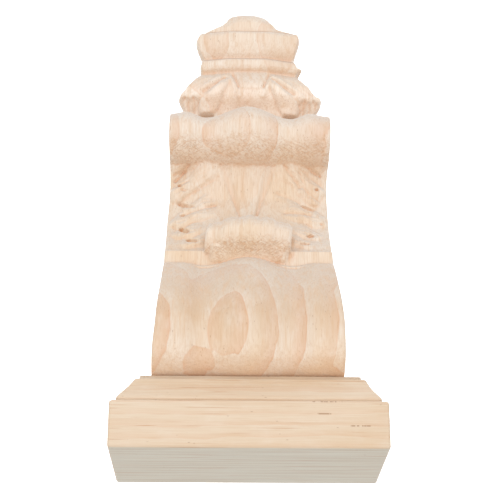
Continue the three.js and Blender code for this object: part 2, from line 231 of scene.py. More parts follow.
leafRight = {
    "lobes": [
        (15, 128.6, 29.2, 126.4, 2.6, 1.3, 0), (12, 126, 28.2, 115.6, 4.6, 1.9, 1.2),
        (19, 119, 26.6, 111.2, 2.8, 1.8, 0.6), (14, 107, 28.4, 101.8, 5.0, 1.6, 0.8),
        (16, 97.4, 26.6, 93.2, 3.8, 1.3, 0.4), (15, 91.6, 23.6, 87.4, 3.4, 1.2, 0),
    ],
    "cuts": [
        (15.0, 126.6, 20.9, 118, 1.0, 1.1), (23.0, 127.4, 29.4, 123.6, 0.6, 1.3),
        (21, 124, 24.6, 113.6, 0.9, 0.8), (12.0, 114.6, 20.6, 110.8, 1.2, 0.5),
        (15, 104.8, 25, 104.6, 0.8, 0.8),
    ],
    "eyes": [
        (24.0, 108.4, 3.7, 1.15, -0.42, 3.2), (27.9, 117, 1.0, 0.9, 0, 2.6), (29.2, 100, 0.8, 0.7, 0, 1.6),
        (24.6, 93.2, 2.0, 0.9, 0.1, 3.0), (22.2, 88.6, 2.7, 0.95, 0.1, 2.6),
    ],
}
stem = {
    "neckDrop": 108, "neck": 4.5, "rootBelow": 18, "root": 9.2,  # half widths at its neck and root
    "height": 2.9, "groove": 0.7,  # it stands between two grooves
    "crest": -2.1, "crestHalf": 4.5,  # a low ridge a little to the right of the middle
}
leafSurface = {
    "blade": 2.4,  # how far it stands above the ground near the curled tip
    "tipEnd": (84.5, 88.5), "rootEnd": (128, 131),  # where it fades into the ground
    "waver": 0.45, "veinHeight": 0.16, "veinSpacing": 1.5,
}


def leafSide(side, drop, leaf):
    rise = np.zeros_like(side)
    # the lobes waver a little and carry fine veins
    wavySide = side + leafSurface["waver"] * np.sin(1.1 * drop + 0.5 * side)
    wavyDrop = drop + leafSurface["waver"] * np.sin(0.9 * side + 0.35 * drop)
    for x0, d0, x1, d1, width, height, bow in leaf["lobes"]:
        t, beside = besideLine(wavySide, wavyDrop, (x0, d0, x1, d1), bow)
        rounded = np.clip(1 - (beside / (1.12 * width * (1 - 0.35 * t))) ** 2, 0, 1) ** 0.8
        veins = leafSurface["veinHeight"] * np.cos(2 * np.pi * beside / leafSurface["veinSpacing"])
        rise = smoothMax(rise, (height + veins) * rounded * ramp(-0.1, 0.55, t), 0.3)
    blade = leafSurface["blade"] * (1 - ramp(15, 26, side)) * ramp(86, 94, drop)
    rise = rise + blade
    for cut in leaf["cuts"]:
        rise = rise - cutLine(side, drop, cut[:4], cut[4], cut[5])
    for eye in leaf["eyes"]:
        rise = rise - cutSpot(side, drop, eye)
    return rise


def leafRise(x, drop):
    side = np.abs(x)
    rise = np.where(x > 0, leafSide(side, drop, leafLeft), leafSide(side, drop, leafRight))
    half = stem["neck"] + (drop - stem["neckDrop"]) / stem["rootBelow"] * (stem["root"] - stem["neck"])
    share = side / np.maximum(half, 2.5)
    stalk = stem["height"] * (1 - ramp(0.7, 1.12, share))
    crest = (1 - np.clip(np.abs(x - stem["crest"]) / stem["crestHalf"], 0, 1)) * ramp(88, 96, drop)
    onStem = smoothMax(rise - stem["groove"] * bell(1.06, 0.2, share), stalk + crest, 0.5)
    rise = np.where(share < 1.25, onStem, rise)
    return rise * ramp(*leafSurface["tipEnd"], drop) * (1 - ramp(*leafSurface["rootEnd"], drop))


# The lower roll bulges in the middle and is slimmer in its coves; its left end hangs a little lower
def lowerRollDepth(x, drop):
    back = setBack(x, *body["rollFace"])
    tall, deep = body["rollTall"] - 0.45 * back, body["rollDeep"] - 0.2 * back
    middle = body["rollDrop"] - 0.25 * back + 0.01 * x
    across = np.clip((drop - middle) / tall, -1, 1)
    depth = body["rollDepth"] - 0.65 * back + deep * np.sqrt(1 - across ** 2)
    return np.where(np.abs(across) < 1, depth, 0)


# Under the leaf's curled tip the strip swells out to meet it
swell = {
    "depth": 32.6, "slope": 0.6,  # at the drop where it is full, and deeper per millimetre below that
    "start": (75.5, 79), "end": (84, 88), "sides": (13.5, 20.5),  # where it grows and fades
    "fall": 12, "endFall": 20,  # how far it drops away there
    "last": 95, "blend": 1.2,
}


def swellDepth(x, drop):
    depth = swell["depth"] + swell["slope"] * (drop - swell["start"][1])
    depth = depth - swell["fall"] * ramp(*swell["sides"], np.abs(x))
    depth = depth - swell["fall"] * (1 - ramp(*swell["start"], drop))
    return np.where(drop < swell["last"], depth - swell["endFall"] * ramp(*swell["end"], drop), 0)


def bodyDepth(x, drop):
    back = setBack(x, *body["scrollFace"])
    low = ramp(50, 70, drop)
    stripTop, stripBottom = body["stripTop"], body["stripBottom"]
    # the coves end sooner than the bead, so the scroll's lower edge waves
    lifted = drop + 0.75 * setBack(x, *body["scrollFoot"]) * low * (1 - ramp(stripTop, stripBottom, drop))
    lifted = np.where(drop < stripBottom, np.minimum(lifted, stripBottom), lifted)
    scroll = 1 - ramp(stripTop - 1.6, stripTop, lifted)
    strength = 0.75 + 0.25 * ramp(30, 58, drop)
    ground = profile(lifted) - scroll * strength * back * (1 - 0.35 * low)
    ground = smoothMax(ground, swellDepth(x, drop), swell["blend"])
    return np.maximum(ground + leafRise(x, drop), lowerRollDepth(x, drop))


# The pendant: a bell of hanging leaves, a ring, a flared cup and a knob

pendant = {  # each line runs from x and drop to x and drop
    "panel": {"middle": -1.3, "top": 7.0, "foot": 4.8, "step": 163.4, "tall": 8.1, "rise": 0.45},
    "wedges": (7.4, 171, 5.0, 164.2),  # dark cuts at the panel's sides, from its middle
    "fold": (9.0, 171, 5.2, 159.8),  # the curled edge beside them
    "foldHeight": 0.9,
    "tongue": (9.4, 167.4, 16.8, 156.4),
    "tongueHeight": 1.9,
    "groove": (9.8, 169.2, 18.4, 162.2),  # between the tongue and the outer leaf
    "veins": [  # line, width, depth
        ((13.5, 170.5, 23.5, 161.5), 0.6, 0.3), ((17.5, 168.4, 26.5, 161), 0.5, 0.25),
    ],
    "leafEdge": 159.6,  # the ragged end of the outer leaf
    "bellEnd": 172.6,
    "squareness": (8, 5),  # of its section above and below the cup's edge, where 2 would be round
    "cupEdge": (192, 197),
    "cupFullness": 0.4,
    "pocket": {"depth": 5.4, "inner": (13.6, 15.6), "outer": (20.0, 21.6), "end": (152.4, 154.0)},
    "backInset": 2.6,  # its sides lean in towards the wall
}


def bellCarving(x, drop):
    # the right half is carved a little wider than the left, and a little nearer the cap
    side = np.where(x > 0, x, -x * 0.96)
    low = np.where(x > 0, drop, drop + 0.6)
    # a plain panel in the middle, which ends in a step, with a wedge and a fold at each side
    panel = pendant["panel"]
    fromMiddle = np.abs(x - panel["middle"])
    panelHalf = panel["foot"] + (drop - panel["step"]) / panel["tall"] * (panel["top"] - panel["foot"])
    onPanel = 1 - ramp(0.85, 1.05, fromMiddle / np.maximum(panelHalf, 2))
    onPanel = onPanel * ramp(-0.4, 0.2, drop - panel["step"])
    wedges = cutLine(fromMiddle, drop, pendant["wedges"], 0.9, 1.0)
    besideFold = besideLine(fromMiddle, drop, pendant["fold"])[1]
    fold = pendant["foldHeight"] * bell(0, 0.9, besideFold) * (1 - 0.6 * ramp(168, 171, drop))
    # a rounded tongue at each side of those, and a broad outer leaf with two veins
    t, beside = besideLine(side, low, pendant["tongue"], -0.8)
    tongue = np.sqrt(np.clip(1 - (beside / (1.7 + 2.3 * t)) ** 2, 0, 1)) * ramp(-0.2, 0.25, t)
    leafBulge = 1.1 * ramp(-1, 5, side - 9.4 - (168.8 - low) * 0.95) * (1 - ramp(169, 172.5, drop))
    veins = sum(cutLine(side, low, line, width, depth) for line, width, depth in pendant["veins"])
    # the outer leaf is cut away under its ragged edge, and a pocket opens under the tongue
    edge = pendant["leafEdge"] + 0.5 * np.sin(side * 1.7 + 0.8) + 0.3 * np.sin(side * 3.9)
    outside = ramp(-0.5, 0.9, side - 19.8 + (158 - low) * 0.1)
    under = outside * (1 - ramp(-0.5, 0.15, low - edge)) * (0.55 + 0.45 * ramp(149, 156, low))
    hole = pendant["pocket"]
    pocket = hole["depth"] * ramp(*hole["inner"], side) * (1 - ramp(*hole["outer"], side))
    pocket = pocket * (1 - ramp(*hole["end"], low))
    besideTongue = 1 - np.clip(1.6 * tongue, 0, 1)
    rise = panel["rise"] * onPanel + pendant["tongueHeight"] * tongue + fold
    rise = rise + (leafBulge - veins) * besideTongue
    rise = rise - cutLine(side, low, pendant["groove"], 0.9, 1.2) * besideTongue - wedges * (1 - onPanel)
    return rise - (1.7 + 0.35 * np.sin(side * 2.6)) * under * besideTongue - pocket


def pendantSurface(x, drop):
    across = np.minimum(np.where(x > 0, x / leftAt(drop), -x / rightAt(drop)), 1)
    centre = pendantDepth(drop)
    square, rounder = pendant["squareness"]
    power = square - (square - rounder) * ramp(*pendant["cupEdge"], drop)
    rounded = centre * (1 - across ** power) ** (1 / power)
    # its front falls back a little towards both sides, more at the right of the bell
    slant = np.where(x > 0, 0.12, 0.18 - 0.06 * ramp(178, 184, drop))
    flat = centre * (1 - slant * ramp(0.3, 1, across))
    onCup = ramp(180.5, 184, drop) * (1 - ramp(188, 191, drop))
    full = pendant["cupFullness"] * bell(0.6, 0.3, across) * onCup
    surface = np.minimum(flat + full, rounded)
    return surface + np.where(drop < pendant["bellEnd"], bellCarving(x, drop), 0)


def frontDepth(x, drop):
    behindRoll = lowerRollDepth(x, drop) * (np.abs(x) < body["valley"] + 4)
    hanging = np.maximum(pendantSurface(x, drop), behindRoll)
    depth = np.where(drop < body["bellTop"], bodyDepth(x, drop), hanging)
    left, right = leftAt(drop), rightAt(drop)
    rounding = body["edgeRounding"]
    t = np.clip(np.minimum(left - x, x + right) / rounding, 0, 1)
    least = 1.4 - 0.4 * (x / left) ** 2  # the wood is never thinner than this
    return np.maximum(depth - rounding * (1 - np.sqrt(1 - (1 - t) ** 2)), least)


def meshFrom(name, points, faces):
    mesh = bpy.data.meshes.new(name)
    mesh.from_pydata(points.reshape(-1, 3) * mm, [], faces)
    mesh.update()
    made = bpy.data.objects.new(name, mesh)
    bpy.context.scene.collection.objects.link(made)
    return made


def gridFaces(rows, columns, closed=False):
    r = np.arange(rows - 1)[:, None] * columns
    c = np.arange(columns if closed else columns - 1)[None, :]
    nextC = (c + 1) % columns
    quads = np.stack([r + c, r + c + columns, r + nextC + columns, r + nextC], axis=-1)
    return quads.reshape(-1, 4).tolist()


# how far the pendant's sides lean in towards the wall
def leanAt(drop):
    below = ramp(body["bellTop"], body["bellTop"] + 4, drop)
    return pendant["backInset"] * below * (1 - 0.5 * ramp(193, 204, drop))


# the block before the leaf's tip is joined to it, as one closed skin of front and back
def blockOfBody(step=0.3):
    columns = int(68 / step)  # about as wide as the body, so the columns are one step apart
    drops = np.concatenate([
        np.arange(body["top"], body["bellTop"] - 0.2, step),
        np.arange(body["bellTop"], body["bottom"], step), [body["bottom"]]])
    # the columns stand closer together towards the two sides
    reach = math.pi / 2 * 0.8
    u = np.sin(np.linspace(-1, 1, columns) * reach) / math.sin(reach)
    drop, u = np.meshgrid(drops, u, indexing="ij")
    x = np.where(u > 0, u * leftAt(drop), u * rightAt(drop))
    depth = frontDepth(x, drop)
    onWall = np.clip(1 - depth / (0.72 * pendantDepth(drop)), 0, 1)
    frontX = x * (1 - leanAt(drop) * onWall / leftAt(drop))
    front = np.stack([frontX, -depth, topZ - drop], axis=-1)
    backX = x * (1 - leanAt(drop) / leftAt(drop))
    back = np.stack([backX[:, ::-1], np.zeros_like(x), topZ - drop], axis=-1)
    rings = np.concatenate([front, back], axis=1)
    count = rings.shape[1]
    faces = gridFaces(len(drops), count, closed=True)
    last = (len(drops) - 1) * count
    for i in range(columns - 1):
        a, b = i, count - 1 - i
        faces.append([a, a + 1, b - 1, b])
        faces.append([last + a, last + b, last + b - 1, last + a + 1])
    return meshFrom("blockOfBody", rings, faces)


# The leaf's tip curls over into a roll, fattest in the middle, with shallow flutes and hollow ends
leafTip = {
    "drop": 89.6, "depth": 30.4, "radius": 8.3, "halfWidth": 16.7, "rounding": 2.2, "arch": 1.9,
    "hollow": [  # its hollowed ends: how far in from the end, and share of the radius
        (2.4, 0.02), (2.123, 0.3), (1.385, 0.56), (0.462, 0.72), (0.046, 0.8),
    ],
    "flutes": [(0.3, 7.6), (0.12, 3.1)],  # height, spacing
    "scoop": {"x": 13.6, "half": 2.4, "depth": 1.1},  # cut away near its left end
}


def curledTip():
    around, along = 110, 110  # faces
    angle = np.linspace(0, 2 * math.pi, around, endpoint=False)
    half = leafTip["halfWidth"]
    rings = [(inset - half, scale) for inset, scale in leafTip["hollow"]]
    for place in np.linspace(-1, 1, along):
        x = place * (half - 0.02)
        inward = min((half - abs(x)) / leafTip["rounding"], 1)
        rings.append((x, 0.86 + 0.14 * math.sqrt(1 - (1 - inward) ** 2)))
    rings += [(half - inset, scale) for inset, scale in leafTip["hollow"][::-1]]
    scoop = leafTip["scoop"]
    points = []
    for x, scale in rings:
        shrink = leafTip["arch"] * (x / half) ** 2
        flute = sum(height * math.cos(2 * math.pi * x / spacing) for height, spacing in leafTip["flutes"])
        radius = leafTip["radius"] - shrink + flute * np.clip(0.6 - 0.6 * np.cos(angle), 0, 1)
        radius = radius - scoop["depth"] * bell(scoop["x"], scoop["half"], x) * bell(1.5, 0.9, angle)
        points.append(np.stack([
            x + 0.5 * np.cos(angle),
            -(leafTip["depth"] - 0.5 * shrink + radius * scale * np.sin(angle)),
            topZ - (leafTip["drop"] - shrink - radius * scale * np.cos(angle))], axis=-1))
    faces = gridFaces(len(rings), around, closed=True)
    faces.append(list(range(around))[::-1])
    last = (len(rings) - 1) * around
    faces.append([last + i for i in range(around)])
    return meshFrom("curledTip", np.array(points), faces)


# both solids as one mesh, which the remesh then makes one skin
def joined(name, parts):
    for part in bpy.context.view_layer.objects:
        part.select_set(False)
    for part in parts:
        part.select_set(True)
    bpy.context.view_layer.objects.active = parts[0]
    bpy.ops.object.join()
    whole = bpy.context.view_layer.objects.active
    whole.name = whole.data.name = name
    return whole


def applied(made, kind, **settings):
    modifier = made.modifiers.new(kind.lower(), kind)
    for key, value in settings.items():
        setattr(modifier, key, value)
    graph = bpy.context.evaluated_depsgraph_get()
    mesh = bpy.data.meshes.new_from_object(made.evaluated_get(graph))
    made.modifiers.clear()
    old = made.data
    made.data = mesh
    mesh.name = made.name
    bpy.data.meshes.remove(old)
    return made


def triangleCount(made):
    return sum(len(face.vertices) - 2 for face in made.data.polygons)


def carvedBody():
    whole = joined("carvedBody", [blockOfBody(), curledTip()])
    applied(whole, "REMESH", mode="VOXEL", voxel_size=body["voxel"] * mm, use_smooth_shade=True)
    print("carved body: remeshed to", triangleCount(whole), "triangles")
    share = body["mostTriangles"] / triangleCount(whole)
    if share < 1:
        applied(whole, "DECIMATE", ratio=share)
    # nothing passes the wall or the lowest point, and the flat back keeps a crisp edge
    points = np.empty(len(whole.data.vertices) * 3)
    whole.data.vertices.foreach_get("co", points)
    points = points.reshape(-1, 3)
    points[:, 1] = np.minimum(points[:, 1], 0)
    points[:, 2] = np.maximum(points[:, 2], frameBox[0][2])
    whole.data.vertices.foreach_set("co", points.ravel())
    whole.data.update()
    normals = np.empty(len(whole.data.polygons) * 3)
    whole.data.polygons.foreach_get("normal", normals)
    whole.data.polygons.foreach_set("use_smooth", normals.reshape(-1, 3)[:, 1] < 0.97)
    print("carved body:", triangleCount(whole), "triangles")
    return whole


cap = {
    "width": 100, "depth": 50, "slab": 17.6, "height": 29.7, "edge": 1.1, "corner": 1.1,
    "fillet": 1.2, "filletInset": 10.1,
    "rightReach": 1.3,  # the moulding's foot reaches this much further at the right end
    "moulding": [  # drop, inset: from the slab's ledge to the groove above the fillet
        (17.6, 2.6), (18.0, 2.7), (18.5, 2.2), (19.4, 2.4), (21, 3.5), (23, 5.0), (25, 6.5), (26.8, 7.6),
        (27.8, 8.2), (28.2, 8.6), (28.5, 9.6),
    ],
}


# inset and drop of each ring round the cap, from its top down: the slab, the ogee and the fillet
def capProfile():
    rings = []
    edge = cap["edge"]
    for a in np.linspace(0, math.pi / 2, 8):
        rings.append((edge * (1 - math.sin(a)), edge * (1 - math.cos(a))))
    for d in np.linspace(edge, cap["slab"] - edge, 20)[1:-1]:
        rings.append((0, d))
    for a in np.linspace(0, math.pi / 2, 8):
        rings.append((edge * (1 - math.cos(a)), cap["slab"] - edge * (1 - math.sin(a))))
    curve = curveThrough(cap["moulding"])
    end = cap["height"] - cap["fillet"]
    for drop in np.linspace(cap["slab"], end, 30):
        rings.append((float(curve(drop)), drop))
    rings.append((cap["filletInset"], end + 0.1))
    rings.append((cap["filletInset"], cap["height"]))
    return rings


# one ring, from the wall at the right round the front to the wall at the left
def capRing(inset, drop, corner):
    points = []
    xIn, yIn = cap["width"] / 2 - inset, cap["depth"] - inset
    xRight = xIn + cap["rightReach"] * float(ramp(4, 9.5, inset))
    for y in np.linspace(0, yIn - corner, 30)[:-1]:
        points.append((-xRight, y))
    for a in np.linspace(0, math.pi / 2, 8):
        points.append((-(xRight - corner + corner * math.cos(a)), yIn - corner + corner * math.sin(a)))
    for x in np.linspace(-(xRight - corner), xIn - corner, 90)[1:-1]:
        points.append((x, yIn))
    for a in np.linspace(math.pi / 2, 0, 8):
        points.append((xIn - corner + corner * math.cos(a), yIn - corner + corner * math.sin(a)))
    for y in np.linspace(0, yIn - corner, 30)[:-1][::-1]:
        points.append((xIn, y))
    ring = np.array(points)
    return np.stack([ring[:, 0], -ring[:, 1], np.full(len(ring), topZ - drop)], axis=-1)


def capBlock():
    rings = np.array([capRing(inset, drop, cap["corner"]) for inset, drop in capProfile()])
    count = rings.shape[1]
    faces = gridFaces(len(rings), count, closed=True)
    last = (len(rings) - 1) * count
    faces.append(list(range(count)))
    faces.append([last + i for i in range(count)][::-1])
    block = meshFrom("mouldedCap", rings, faces)
    block.data.polygons.foreach_set("use_smooth", [len(f.vertices) == 4 for f in block.data.polygons])
    print("cap:", triangleCount(block), "triangles")
    return block


# Materials

# one node with its settings and links; a link is a node, one of its outputs, or a plain value
def addNode(tree, kind, links=None, **settings):
    node = tree.nodes.new("ShaderNode" + kind)
    for key, value in settings.items():
        setattr(node, key, value)
    for socket, source in (links or {}).items():
        if isinstance(source, bpy.types.Node):
            source = next(output for output in source.outputs if output.enabled)
        if isinstance(source, bpy.types.NodeSocket):
            tree.links.new(source, node.inputs[socket])
        else:
            node.inputs[socket].default_value = source
    return node


# a share that holds over a stretch of one axis and fades out at both its ends
def shareOver(tree, axis, low, high, fade, share):
    rising = addNode(tree, "MapRange", {
        "Value": axis, "From Min": low - fade, "From Max": low + fade, "To Max": share})
    return addNode(tree, "MapRange", {
        "Value": axis, "From Min": high + fade, "From Max": high - fade, "To Max": rising})


# lays tints over a colour; each grows to its share as its pattern goes from the first value to the second
def withTints(tree, colour, tints):
    for pattern, first, second, share, tint in tints:
        amount = addNode(tree, "MapRange", {
            "Value": pattern, "From Min": first, "From Max": second, "To Max": share})
        colour = addNode(tree, "Mix", {
            "Factor": amount, "A": colour, "B": linearColour(tint)}, data_type="RGBA")
    return colour


# growth rings lie round a heart; along the grain they close into ovals over the bulges
def distanceFromHeart(tree, place, heart, look):
    away = addNode(tree, "VectorMath", {0: place, 1: heart[:3]}, operation="SUBTRACT")
    part = addNode(tree, "SeparateXYZ", {0: away}).outputs
    reach = look["ovalReach"]
    along = addNode(tree, "Math", {0: part["Z"], 1: look["ovalSlope"] / reach}, operation="MULTIPLY")
    along = addNode(tree, "Math", {0: along}, operation="TANH")
    along = addNode(tree, "Math", {0: along, 1: reach}, operation="MULTIPLY")
    through = addNode(tree, "Math", {0: part["Y"], 1: look["ringDepth"]}, operation="MULTIPLY")
    oval = addNode(tree, "CombineXYZ", {"X": part["X"], "Y": through, "Z": along})
    distance = addNode(tree, "VectorMath", {0: oval}, operation="LENGTH")
    return addNode(tree, "Math", {0: distance, 1: heart[3]}, operation="ADD")


# how far through its ring each place is, from 0 to 1
def ringPlace(tree, place, axes, noises, look):
    field = distanceFromHeart(tree, place, look["hearts"][0], look)
    for heart in look["hearts"][1:]:
        other = distanceFromHeart(tree, place, heart, look)
        field = addNode(tree, "Math", {0: field, 1: other, 2: 1.0}, operation="SMOOTH_MIN")
    for noise, push in (("swirl", look["warp"]), ("ripple", look["ripple"])):
        field = addNode(tree, "Math", {0: noises[noise], 1: push, 2: field}, operation="MULTIPLY_ADD")
    # low on the scroll, which is nearest the cap, the rings break into points
    breaking = addNode(tree, "MapRange", {
        "Value": axes["Z"], "From Min": 56, "From Max": 66, "To Max": look["ringBreak"]})
    jag = addNode(tree, "Math", {0: noises["jag"], 1: 0.5}, operation="SUBTRACT")
    field = addNode(tree, "Math", {0: jag, 1: breaking, 2: field}, operation="MULTIPLY_ADD")
    start, width = look["ringStart"] - look["warp"] / 2, look["ringWidth"]
    turns = addNode(tree, "Math", {0: field, 1: 1 / width, 2: start / width}, operation="MULTIPLY_ADD")
    return addNode(tree, "Math", {0: turns}, operation="FRACT")


# how dark the late wood is, from the place in the ring
def lateWood(tree, inRing, ringStrength, axes, look):
    shade = addNode(tree, "ValToRGB", {"Fac": inRing})
    stops = shade.color_ramp.elements
    for at, grey in look["ringShades"]:
        stop = stops[0] if at == 0.0 else stops.new(at)
        stop.position = at
        stop.color = (grey, grey, grey, 1)
    stops.remove(stops[-1])
    late = addNode(tree, "Math", {0: shade, 1: ringStrength}, operation="MULTIPLY")
    # the rings show most where a bulge cuts through them
    for low, high, share in look["fainter"]:
        less = shareOver(tree, axes["Z"], low, high, 4.0, -share)
        late = addNode(tree, "Math", {0: late, 1: less, 2: late}, operation="MULTIPLY_ADD")
    return late


# pores: short dark dashes along the grain, here and there in a row
def poreSpots(tree, place, axes, noises, look):
    spread = addNode(tree, "Mapping", {"Vector": place, "Scale": look["poreCell"]}, vector_type="TEXTURE")
    cells = addNode(tree, "TexVoronoi", {"Vector": spread, "Scale": 1.0, "Randomness": 1.0}, feature="F1")
    here = addNode(tree, "MapRange", {
        "Value": noises["poreGroups"], "From Min": look["poreShare"], "From Max": look["poreShare"] + 0.04})
    size = look["poreSize"]
    pore = addNode(tree, "MapRange", {
        "Value": cells.outputs["Distance"], "From Min": size, "From Max": size * 0.6, "To Max": here})
    halfWidth, edge = 0.23, 0.07
    for start, end, side, share in look["poreRows"]:
        row = shareOver(tree, axes["Z"], start, end, 0.4, 1.0)
        row = shareOver(tree, axes["X"], side - halfWidth, side + halfWidth, edge, row)
        row = addNode(tree, "MapRange", {
            "Value": noises["dashes"], "From Min": share, "From Max": share + 0.05, "To Max": row})
        pore = addNode(tree, "Math", {0: pore, 1: row}, operation="MAXIMUM")
    return pore


# short crossing scratches, which the cutter leaves on the steep faces turned towards the cap
def cutterScratches(tree, facing, axes, noises, look):
    where = look["markElsewhere"]
    for low, high, share in look["marked"]:
        zone = shareOver(tree, axes["Z"], low, high, 2.0, share)
        where = addNode(tree, "Math", {0: where, 1: zone}, operation="ADD")
    steep = addNode(tree, "MapRange", {"Value": facing, "From Min": 0.1, "From Max": 0.55, "To Max": where})
    crossed = addNode(tree, "Math", {
        0: noises["scratchOneWay"], 1: noises["scratchOther"]}, operation="MAXIMUM")
    return addNode(tree, "MapRange", {
        "Value": crossed, "From Min": 0.52, "From Max": 0.66, "To Max": steep})


def woodMaterial(name, look):
    material = bpy.data.materials.new(name)
    material.use_nodes = True
    tree = material.node_tree
    tree.nodes.clear()
    # millimetres, turned so that the grain runs along z
    metres = addNode(tree, "TexCoord").outputs["Object"]
    turn = (0, 0, 0) if look["grain"] == "z" else (0, math.radians(90), 0)
    place = addNode(tree, "Mapping", {"Vector": metres, "Rotation": turn, "Scale": (1 / mm,) * 3})
    axes = addNode(tree, "SeparateXYZ", {0: place}).outputs
    geometry = addNode(tree, "NewGeometry").outputs
    facing = addNode(tree, "SeparateXYZ", {0: geometry["Normal"]}).outputs["Z"]  # 1 is up, -1 is down

    noises = {}
    for noise, (size, lean, detail, roughness) in look["noises"].items():
        spread = addNode(tree, "Mapping", {
            "Vector": place, "Rotation": (0, math.radians(lean), 0), "Scale": size}, vector_type="TEXTURE")
        noises[noise] = addNode(tree, "TexNoise", {
            "Vector": spread, "Scale": 1.0, "Detail": detail, "Roughness": roughness})

    # every ring differs a little in strength
    ringStrength = addNode(tree, "MapRange", {
        "Value": noises["ringStrength"], "From Min": 0.3, "From Max": 0.7, "To Min": 0.45, "To Max": 1.0})
    rimShare = addNode(tree, "Math", {0: ringStrength, 1: look["rimShare"]}, operation="MULTIPLY")
    inRing = ringPlace(tree, place, axes, noises, look)
    late = lateWood(tree, inRing, ringStrength, axes, look)
    pore = poreSpots(tree, place, axes, noises, look)
    marks = cutterScratches(tree, facing, axes, noises, look)

    colour = withTints(tree, linearColour(look["pale"]), [(noises["board"], 0.35, 0.65, 1.0, look["warm"])])
    # painted shade and painted light in stretches of the height: darker over the scroll, lighter over the
    # roll and bell
    for low, high, fade, share, tint in look["paintedLightBands"]:
        zone = shareOver(tree, axes["Z"], low, high, fade, share)
        colour = addNode(tree, "Mix", {
            "Factor": zone, "A": colour, "B": linearColour(tint)}, data_type="RGBA")
    colour = withTints(tree, colour, [
        (late, 0, 1, look["ringStrength"], look["latewood"]),
        (inRing, 0.4, 0.03, rimShare, look["bloom"]),  # just outside each ring the wood is palest
        (noises["bloom"], 0.5, 0.72, look["bloomShare"], look["bloom"]),
    ])
    # painted shade on faces turned up, towards the cap, mixed in by how far each face turns up
    above = addNode(tree, "Mix", {
        "Factor": look["upShadeShare"], "A": colour, "B": linearColour(look["upShadeTint"])}, data_type="RGBA")
    above = withTints(tree, above, [(noises["streak"], 0.4, 0.7, look["upStreak"], look["upStreakTint"])])
    up = addNode(tree, "MapRange", {
        "Value": facing, "From Min": look["upRange"][0], "From Max": look["upRange"][1]})
    colour = addNode(tree, "Mix", {"Factor": up, "A": colour, "B": above}, data_type="RGBA")
    # opened vessels show most in the late wood
    share = look["vesselShare"]
    vesselShare = addNode(tree, "MapRange", {
        "Value": late, "From Max": 0.6, "To Min": 0.6 * share, "To Max": 1.3 * share})
    colour = withTints(tree, colour, [
        # painted sheen: faces turned down are paled and greyed
        (facing, *look["downRange"], look["downSheenShare"], look["downSheenTint"]),
        (noises["streak"], 0.48, 0.72, look["streakStrength"], look["streak"]),
        (noises["fibre"], 0.42, 0.8, look["fibreStrength"], look["fibre"]),
        (noises["vessel"], look["vesselFrom"], look["vesselFrom"] + 0.06, vesselShare, look["vessel"]),
        (pore, 0, 1, look["poreStrength"], look["pore"]),
        # painted shade in the hollows, with their darker torn fibres
        (geometry["Pointiness"], *look["cavity"], look["hollowShadeShare"], look["hollowShadeTint"]),
        # painted highlight on raised edges, in the pale bloom colour
        (geometry["Pointiness"], *look["ridge"], look["ridgeShare"], look["bloom"]),
    ])
    # painted shadow: thin brown lines along two rims of the pendant; the wall side has none
    for height, half, share in look["rimShadowLines"]:
        rimShadow = addNode(tree, "MapRange", {
            "Value": axes["Y"], "From Min": -6.0, "From Max": -9.0, "To Max": share})
        rimShadow = shareOver(tree, axes["Z"], height - 0.7 * half, height + 0.7 * half, 0.3 * half, rimShadow)
        colour = addNode(tree, "Mix", {
            "Factor": rimShadow, "A": colour, "B": linearColour(look["rimShadowTint"])}, data_type="RGBA")
    colour = withTints(tree, colour, [(marks, 0, 1, look["markShade"], look["markTint"])])

    height = 0.0  # millimetres
    for pattern, rise in [
            (marks, -look["markDepth"]), (noises["fibre"], look["fibreHeight"]),
            (noises["unevenness"], look["unevenness"]), (pore, -look["poreDepth"])]:
        height = addNode(tree, "Math", {0: pattern, 1: rise, 2: height}, operation="MULTIPLY_ADD")
    bump = addNode(tree, "Bump", {"Height": height, "Distance": mm, "Strength": 1.0})
    roughness = addNode(tree, "MapRange", {
        "Value": noises["fibre"], "From Min": 0.3, "From Max": 0.7,
        "To Min": look["roughness"][0], "To Max": look["roughness"][1]})
    shader = addNode(tree, "BsdfPrincipled", {
        "Base Color": colour, "Roughness": roughness, "IOR": 1.5, "Normal": bump,
        "Sheen Weight": look["sheen"], "Sheen Roughness": 0.45})
    addNode(tree, "OutputMaterial", {"Surface": shader})
    return material


